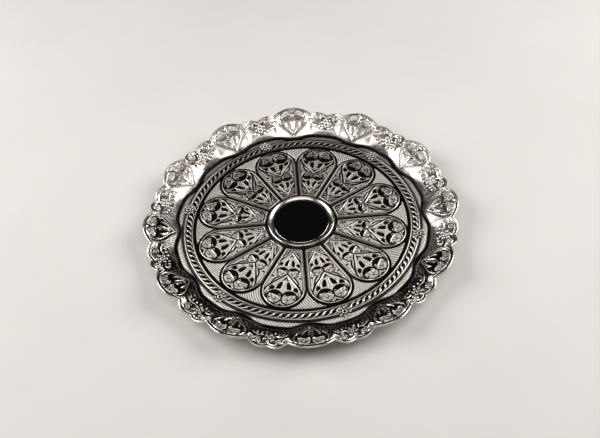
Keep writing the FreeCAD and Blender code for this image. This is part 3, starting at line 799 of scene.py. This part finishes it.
STRANDS = 108
BAND_HALF, BAND_MIDDLE_IN = 2.9, 2.75
WIRE_HALF, WIRE_HEIGHT, WIRE_MATTE = 0.8, 1.25, 0.45
ROSETTE_BEADS = 8
ROSETTE_SPANS = [span(f"border_rosette_{number}") for number in range(1, 7)]
ROSETTES = [((low + high) / 2, (high[0] - low[0]) / 2) for low, high in ROSETTE_SPANS]


def clear_of_rosettes(x, y):
    """0 under a border rosette and 1 away from it."""
    share = np.ones_like(x)
    for centre, size in ROSETTES:
        away = np.hypot(x - centre[0], y - centre[1]) / size
        share = np.minimum(share, ramp(away, 0.92, 1.04))
    return share


def make_twisted_band(material):
    """The twisted band: leaning strands with dark gaps, on a half round back."""
    columns = STRANDS * 16
    offset = BAND_HALF * np.sin(np.linspace(-np.pi / 2, np.pi / 2, 23))
    x, y, angle = polar(span("rope_band")[1][0] - BAND_MIDDLE_IN + offset, columns)
    across = (offset / BAND_HALF)[:, None] + 0 * x
    place = across / 0.9
    phase = angle * STRANDS / (2 * np.pi) + 0.12 * place + 0.6 * place**3
    wave = 0.5 + 0.5 * np.cos(2 * np.pi * phase)
    gap = 0.7 - 0.16 * place**2
    strand = np.sqrt(np.clip((wave - gap + 0.1) / (1.1 - gap), 0, 1))
    uneven = 0.08 * ripple(x, y, 14, 3)
    clear = clear_of_rosettes(x, y)
    height = 0.15 + round_back(place) * (1.4 + uneven) * (0.05 + 0.95 * strand) * clear
    height = np.where(np.abs(across) > 0.999, 0.0, height)
    patina_and_shade = np.maximum(ramp(wave - gap, 0.06, -0.08), ramp(np.abs(across), 0.9, 0.97))
    # painted shade: the far side of the band is darkened
    patina_and_shade = np.maximum(patina_and_shade, 1 - clear) + 0.12 + 0.34 * far_side_painted_shade(x, y)
    points = np.stack([x, y, FLOOR_TOP + height], -1)[::-1]
    add_rings(
        "twisted_band", "rope_band", material,
        points, patina_and_shade[::-1], 0 * patina_and_shade, sharp=70,
    )


def make_border_wire(side, dull, material):
    """A plain half-round wire, a little uneven."""
    node = f"border_wire_{side}"
    columns = 1440
    turn = np.linspace(0, np.pi, 9)
    middle = span(node)[1][0] - WIRE_HALF
    x, y, _ = polar(middle + WIRE_HALF * np.cos(turn), columns)
    swing = 0.05 * ripple(x, y, 25, 5)
    clear = clear_of_rosettes(x, y)
    z = FLOOR_TOP + np.sin(turn)[:, None] * WIRE_HEIGHT * (1 + swing) * (0.1 + 0.9 * clear)
    edges = ramp(np.abs(np.cos(turn)), 0.72, 0.95)[:, None]
    # painted shade: the far side of the wire is darkened
    patina_and_shade = edges + dull + 0.42 * far_side_painted_shade(x, y)
    matte = np.full_like(x, WIRE_MATTE)
    points = np.stack([x, y, z], -1)
    add_rings(f"plain_{node}", node, material, points, patina_and_shade, matte, sharp=70)


def make_rosettes(material):
    """Small round flowers: a ring of ringed beads round a ringed eye."""
    rows, columns = 34, 120
    for number, (centre, size) in enumerate(ROSETTES, 1):
        radii = size * 1.03 * np.linspace(0.03, 1, rows)
        x, y, angle = polar(radii, columns)
        notch = 0.5 - 0.5 * np.cos(ROSETTE_BEADS * angle)
        scallop = 1 - 0.1 * notch * ramp(radii / size, 0.6, 1.0)[:, None]
        x, y = x * scallop, y * scallop
        relief = Relief(x, y, 0.7)
        relief.patina_and_shade[:] = 1.0
        out = 0.76 * size
        for k in range(ROSETTE_BEADS):
            turn = 2 * math.pi * k / ROSETTE_BEADS + math.pi / 2
            place = (out * math.cos(turn), out * math.sin(turn))
            relief.ring(place, 0.145 * size, 0.09 * size, 1.75)
            relief.pit(place, 0.09 * size, 1.0, 0.9)
        relief.ring((0, 0), 0.31 * size, 0.12 * size, 2.2)
        relief.pit((0, 0), 0.17 * size, 0.8)
        relief.height *= ramp(radii / size, 1.03, 0.95)[:, None] * 0.85 + 0.15
        x, y = x + centre[0], y + centre[1]
        top = np.stack([x, y, FLOOR_TOP + relief.height], -1)[::-1]
        foot = top[:1] * (1, 1, 0) + (0, 0, FLOOR_TOP)
        patina_and_shade = np.vstack([np.ones(columns), relief.patina_and_shade[::-1]])
        add_rings(
            f"flower_{number}", f"border_rosette_{number}", material,
            np.concatenate([foot, top]), patina_and_shade, closed=False,
        )


# ---- rim

RIM_GROUND = 0.15
# Painted light and shade on the rim: the far side keeps only this share of its darks, and the side
# facing the next direction round the plate is darkened.
FAR_SIDE_DARK_SHARE = 0.43
PAINTED_SHADE_TURN = math.radians(261)
RIM_HEART = (121.8, 15.0, 23.6, 0.8, 0.41)
LEAVES = [(3.6, 130.2, 1.0, 1.5), (7.4, 131.2, 1.1, 1.6), (11.4, 131.6, 1.0, 1.5)]
LEAF_STEM = [(4.8, 133.4), (8.6, 134.4), (12.4, 133.9), (15.6, 131.8)]
CURL_TURN, CURL_PLACE, CURL_RADIUS = 3.7, (0, 141.2), 3.9
CURL_TAIL = [(-3.4, 140.0), (-5.6, 138.0), (-7.8, 137.6), (-9.0, 139.0)]


def curl(relief, centre, radius, side, ground):
    """A raised stroke that winds inwards round a small eye."""
    share = np.linspace(0, 1, 15)
    turn = -0.62 * np.pi - side * share * 2.9 * np.pi
    reach = radius * (1 - 0.68 * share)
    path = [(centre[0] + r * math.cos(a), centre[1] + r * math.sin(a)) for r, a in zip(reach, turn)]
    relief.pit(centre, 1.05 * radius, ground - 0.3, 0.3)
    relief.cut(path, [1.0, 1.25, 1.1, 0.9], ground - 0.5)
    relief.bead(path, [0.45, 0.66, 0.55, 0.4], ground + 0.7)
    relief.dome(centre, 0.22 * radius, ground + 0.6)


def emboss_between(relief, middle, rng):
    """Between large lobes: a flower, a curl on each small lobe and leaves on a sunk ground."""
    ground = RIM_GROUND
    relief.face(middle)
    near, u, v = relief.window((0, 137), (23, 12))
    sunk = ramp(np.hypot(u / 18.5, (v - 137.2) / 8.4), 1.06, 0.86)
    relief.drop(near, sunk, ground - 0.3, 0.0)
    relief.patina_and_shade[near] *= 1 - 0.75 * sunk * ramp(v, 137.0, 140.0)
    relief.darken(0.78 * sunk * ramp(v, 139.5, 136.0), near)
    for side in (-1, 1):
        for across, along, *radii in LEAVES:
            place = (side * across, along + rng.uniform(-0.3, 0.3))
            relief.dome(place, radii, ground + 0.55)
        relief.bead(mirrored(side, LEAF_STEM), [0.3, 0.75, 0.75, 0.35], ground + 0.6)
    flower(relief, (0, 136.0), 5.7, 6, ground, rng.uniform(0, 1))
    for side in (-1, 1):
        relief.face(middle + side * CURL_TURN)
        curl(relief, CURL_PLACE, CURL_RADIUS, side, ground)
        relief.bead(mirrored(side, CURL_TAIL), [0.6, 0.8, 0.7, 0.35], ground + 0.65)


def emboss_lobe(relief, middle, painted_shade_weight, rng):
    """A heart in a dished ground on a large lobe."""
    relief.face(middle)
    near, u, v = relief.window((0, 135), (20, 17))
    dish = ramp(np.hypot(u / 17.6, (v - 136.5) / 14.5), 1.0, 0.86)
    relief.drop(near, dish, RIM_GROUND, 0.0)
    # Painted shade: the dish is cleaned less on the near side.
    relief.patina_and_shade[near] *= 1 - 0.75 * dish * (1 - 0.4 * painted_shade_weight[near])
    heart(relief, *RIM_HEART, RIM_GROUND + 0.05, rng, (0.44, 0.28), ridge=0.3, moat=True)


def emboss_rim(relief, angle):
    """Hearts on the large lobes, curls and flowers between them, over a plain cove."""
    rng = np.random.default_rng(SEED + 1)
    x, y = relief.x, relief.y
    radius = np.hypot(x, y)
    from_edge = rim_edge(angle)[0] - radius
    from_seam = radius - rim_seam(angle)
    relief.height[:] = RIM_GROUND
    field = ramp(from_seam, 1.5, 4.0) * ramp(from_edge, 2.0, 5.0)
    # Painted shade: 0 on the rim's far side to 1 on the side facing the shaded direction, which is
    # darkened, mottled more and stippled.
    side = np.cos(np.arctan2(y, x) - PAINTED_SHADE_TURN)
    painted_shade_weight = ramp(side, -0.55, 0.6)
    mottle = 0.12 * ripple(x, y, 12, 61) + 0.17 * ripple(x, y, 3.2, 63)
    relief.patina_and_shade += field * (0.03 + 0.63 * painted_shade_weight + mottle * (0.3 + 0.7 * painted_shade_weight))
    relief.stipple(field * painted_shade_weight, 2.1, 0.12, 60, 0.75, 0.0)
    for k in range(PETALS):
        emboss_between(relief, SECTOR * (k + 0.5), rng)
    for k in range(PETALS):
        emboss_lobe(relief, SECTOR * k, painted_shade_weight, rng)
    inner_line = ramp(np.abs(from_edge - 1.9), 0.6, 0.15)
    relief.height += inner_line * 0.45
    relief.patina_and_shade *= 1 - 0.8 * inner_line
    gutter = ramp(np.abs(from_edge - 0.8), 0.7, 0.3)
    relief.height -= gutter * 0.3
    relief.darken(gutter * 0.85)
    # Painted light: the far side keeps only part of its darks.
    relief.patina_and_shade *= FAR_SIDE_DARK_SHARE + (1 - FAR_SIDE_DARK_SHARE) * painted_shade_weight
    # Painted shade on the low ground of the near side, leaving its raised lines bright.
    low = ramp(relief.height, 0.62, 0.3) * ramp(from_edge, 1.0, 10.0)
    speckle = 0.7 + 1.1 * ripple(x, y, 2.6, 64)
    relief.patina_and_shade += 0.34 * low * speckle * ramp(side, 0.1, 0.75)
    # A dark line along the seam, widened on the near side as painted shade.
    crease = ramp(from_seam, 1.8 + 3.4 * painted_shade_weight, 0.7)
    relief.darken(crease * (0.8 + 0.12 * ripple(x, y, 20, 62)))
    relief.height *= ramp(from_seam, 1.2, 3.2) * ramp(from_edge, 0.0, 0.5)


def upward_normals(points):
    """Upward normals of a grid of points whose columns close round the plate."""
    along = np.gradient(points, axis=0)
    around = (np.roll(points, -1, axis=1) - np.roll(points, 1, axis=1)) / 2
    normal = np.cross(along, around)
    normal /= np.linalg.norm(normal, axis=-1, keepdims=True)
    return normal * np.sign(normal[..., 2:3])


def soften(values, rounds):
    """Averages a grid with its neighbours, round the plate and across the rim."""
    for _ in range(rounds):
        values = (np.roll(values, 1, 1) + values * 2 + np.roll(values, -1, 1)) / 4
        padded = np.vstack([values[:1], values, values[-1:]])
        values = (padded[:-2] + 2 * values + padded[2:]) / 4
    return values


def make_rim(material):
    """The rim, with its relief pressed through to the underside more softly."""
    columns, rows, step = 2400, 92, 3
    angle = turns(columns)
    radius, height = rim_surface(np.linspace(0, 1, rows), angle)
    radius = np.vstack([rim_seam(angle)[None], radius])
    height = np.vstack([np.full((1, columns), RIM_THICK), height])
    x, y = radius * np.cos(angle), radius * np.sin(angle)
    base = np.stack([x, y, FLOOR_TOP + height], -1)
    relief = Relief(x, y)
    emboss_rim(relief, angle[None, :] + 0 * x)
    normal = upward_normals(base)
    top = base + normal * relief.height[..., None]
    pressed = soften(relief.height, 4)
    under = base + normal * (pressed * 0.8)[..., None] - np.array([0, 0, RIM_THICK])
    under[0, :, 2] = FLOOR_TOP
    keep = np.r_[0, 1:rows:step, rows]
    under = under[keep]
    under[..., 2] = np.maximum(under[..., 2], FLOOR_TOP)
    points = np.concatenate([under, top[::-1]])
    hollow = ramp(pressed[keep], 0.2, 0.9) * 0.35 + 0.1
    patina_and_shade = np.vstack([hollow, relief.patina_and_shade[::-1]])
    matte = np.vstack([0 * hollow, relief.matte[::-1]])
    add_rings(
        "embossed_rim", "rim_border", material,
        points, patina_and_shade, matte, sharp=65,
    )


def make_edge_wire(material):
    """The wire along the rim's wavy edge, round in section."""
    columns = 2400
    angle = turns(columns)
    edge_r, edge_z = (soften(edge[None], 6)[0] for edge in rim_edge(angle))
    turn = turns(12)[:, None]
    size = 0.95 + 0.03 * ripple(edge_r * np.cos(angle), edge_r * np.sin(angle), 30, 8)
    radius = edge_r + 0.85 + size * np.cos(turn)
    z = FLOOR_TOP + edge_z - RIM_THICK / 2 + 0.15 + size * 1.1 * np.sin(turn)
    points = np.stack([radius * np.cos(angle), radius * np.sin(angle), z], -1)
    patina_and_shade = ramp(-np.cos(turn), 0.2, 0.9) * 0.8 + 0 * radius
    add_rings("rim_wire", "edge_wire", material, points, patina_and_shade)


# ---- turned pieces

COLLAR_INNER, COLLAR_CREST = 26.6, 30.8
FOOT_RADII = (97.0, 100.0)


def make_turned(name, node, slot, material, profile, columns=480, patina_and_shade=0.0, closed=True):
    """A turned piece from its profile of (radius, height) points: underside, outside, then top."""
    profile = np.array(profile, float)
    x, y, _ = polar(profile[:, 0], columns)
    points = np.stack([x, y, profile[:, 1][:, None] + 0 * x], -1)
    shade = np.repeat(patina_and_shade + 0 * profile[:, 0], columns)
    add_rings(name, node, material, points, shade, sharp=55, closed=closed)


def arc(centre, radii, start, end, count):
    """Points of an oval arc in a profile, from one angle to another in degrees."""
    turn = np.radians(np.linspace(start, end, count))
    return [(centre[0] + radii[0] * math.cos(t), centre[1] + radii[1] * math.sin(t)) for t in turn]


def make_collar(material):
    """A ring with one round crest, and a hollow curve from it down to the disc."""
    high = span("centre_collar")[1]
    outer, base, top = high[0], FLOOR_TOP, high[2]
    inner, crest = COLLAR_INNER, COLLAR_CREST
    profile = [(inner, base), (outer, base), (outer, base + 0.3), (crest + 1.4, base + 0.35)]
    profile += arc((crest, top - 1.2), (1.15, 1.2), -25, 150, 16)
    brow, foot = profile[-1], (inner, base + 1.5)
    run, fall = foot[0] - brow[0], brow[1] - foot[1]
    for share in np.linspace(0.08, 1, 12):
        profile.append((brow[0] + run * share, foot[1] + fall * (1 - share) ** 1.7))
    profile = np.array(profile)
    # Painted shade on the outer side below the crest; a dark joint line where the ring meets the
    # disc.
    shade = ramp(profile[:, 1], top - 1.5, top - 2.0) * 0.95 * (profile[:, 0] > crest)
    shade = np.maximum(shade, ramp(profile[:, 0], inner + 0.5, inner + 0.1))
    make_turned("centre_ring", "centre_collar", "plain_silver", material, profile, patina_and_shade=shade)


def make_disc(material):
    """The disc: very slightly domed, with a soft edge."""
    high = span("centre_disc")[1]
    edge, base, level = high[0], FLOOR_TOP, high[2]
    profile = [(0.6, base), (edge, base), (edge, level - 0.35)]
    profile += [(edge - 0.15, level - 0.1), (edge - 0.5, level)]
    radii = (edge - 1.5, 20.0, 14.0, 8.0, 3.0, 0.6)
    profile += [(r, level + 0.1 * (1 - (r / edge) ** 2)) for r in radii]
    names = "mirror_disc", "centre_disc", "polished_silver"
    make_turned(*names, material, profile, 360, closed=False)


def make_foot(material):
    """The low ring that the plate stands on, with a flange against the floor plate."""
    high = span("foot_ring")[1]
    flange, top = high[0], high[2]
    inner, outer = FOOT_RADII
    profile = [(inner, top)] + arc((inner + 0.5, 0.5), (0.5, 0.5), 180, 270, 5)
    profile += arc((outer - 0.5, 0.5), (0.5, 0.5), 270, 360, 5)
    profile += [(outer, top - 1.4), (outer + 0.15, top - 1.1), (outer + 0.5, top - 0.9)]
    profile += [(flange - 0.3, top - 0.9), (flange, top - 0.6), (flange, top)]
    make_turned("foot", "foot_ring", "plain_silver", material, profile)


# ---- stage, camera and lights

FLOOR_HALF = 3.0
ELEVATION = math.radians(48.72)
ROLL = math.radians(4.857)
DISTANCE = 0.7555
AIM_ABOVE_FLOOR = 1.6
AIM_SHIFT = (0.00111, -0.00198)
FOCAL_LENGTH, SENSOR_WIDTH = 47.26, 36
WORLD_COLOUR, WORLD_STRENGTH = (0.9, 0.95, 1.0, 1), 0.004
SIDE_BOX = (1.0, 0.85, 14, (1.0, 0.98, 0.96))  # width, height, power and colour
OVERHEAD_BOX = (0.9, 0.8, 4.0, (1.0, 0.96, 0.92))


def make_stage():
    mesh = bpy.data.meshes.new("studio_floor")
    corners = [(x * FLOOR_HALF, y * FLOOR_HALF, 0) for x, y in ((-1, -1), (1, -1), (1, 1), (-1, 1))]
    mesh.from_pydata(corners, [], [(0, 1, 2, 3)])
    mesh.materials.append(floor_material())
    floor = add_object("studio_floor", mesh)


def make_camera():
    """A camera in front of the plate, looking down at it, rolled a little."""
    back = Vector((0, -math.cos(ELEVATION), math.sin(ELEVATION)))
    level_right, level_up = Vector((1, 0, 0)), Vector((0, math.sin(ELEVATION), math.cos(ELEVATION)))
    right = level_right * math.cos(ROLL) - level_up * math.sin(ROLL)
    up = level_right * math.sin(ROLL) + level_up * math.cos(ROLL)
    aim = Vector((0, 0, (FLOOR_TOP + AIM_ABOVE_FLOOR) * MM))
    place = aim + back * DISTANCE - right * AIM_SHIFT[0] - up * AIM_SHIFT[1]
    data = bpy.data.cameras.new("camera")
    data.lens, data.sensor_width = FOCAL_LENGTH, SENSOR_WIDTH
    camera = add_object("camera", data)
    axes = Matrix((right, up, back)).transposed().to_4x4()
    camera.matrix_world = Matrix.Translation(place) @ axes
    bpy.context.scene.camera = camera
    bpy.context.scene.view_settings.view_transform = "Standard"


def make_light(name, place, width, height, power, colour):
    """A soft box that faces the plate."""
    data = bpy.data.lights.new(name, "AREA")
    data.shape = "RECTANGLE"
    data.size, data.size_y = width, height
    data.energy = power
    data.color = colour
    facing = (-Vector(place)).to_track_quat("-Z", "Y").to_matrix().to_4x4()
    add_object(name, data).matrix_world = Matrix.Translation(place) @ facing


def make_lights():
    world = bpy.data.worlds.new("studio")
    world.use_nodes = True
    background = world.node_tree.nodes["Background"]
    set_inputs(background, {"Color": WORLD_COLOUR, "Strength": WORLD_STRENGTH})
    bpy.context.scene.world = world
    make_light("left_box", (-1.03, 0.22, 0.78), *SIDE_BOX)
    make_light("right_box", (1.03, 0.22, 0.78), *SIDE_BOX)
    make_light("overhead_box", (0, -0.3, 1.15), *OVERHEAD_BOX)


# ---- the plate


def build():
    embossed = silver_material("embossed_silver", polish=0.24, tarnish=1.0, grain=0.35)
    rim = silver_material("rim_silver", polish=0.18, tarnish=1.0, grain=0.06)
    plain = silver_material("plain_silver", polish=0.13, tarnish=0.95, grain=0.06)
    polished = mirror_material()
    make_floor(embossed)
    make_petal_panels(embossed)
    make_twisted_band(embossed)
    make_border_wire("inner", 0.22, plain)
    make_border_wire("outer", 0.04, plain)
    make_rosettes(embossed)
    make_rim(rim)
    make_edge_wire(plain)
    make_collar(plain)
    make_disc(polished)
    make_foot(plain)
    make_stage()
    make_camera()
    make_lights()


build()
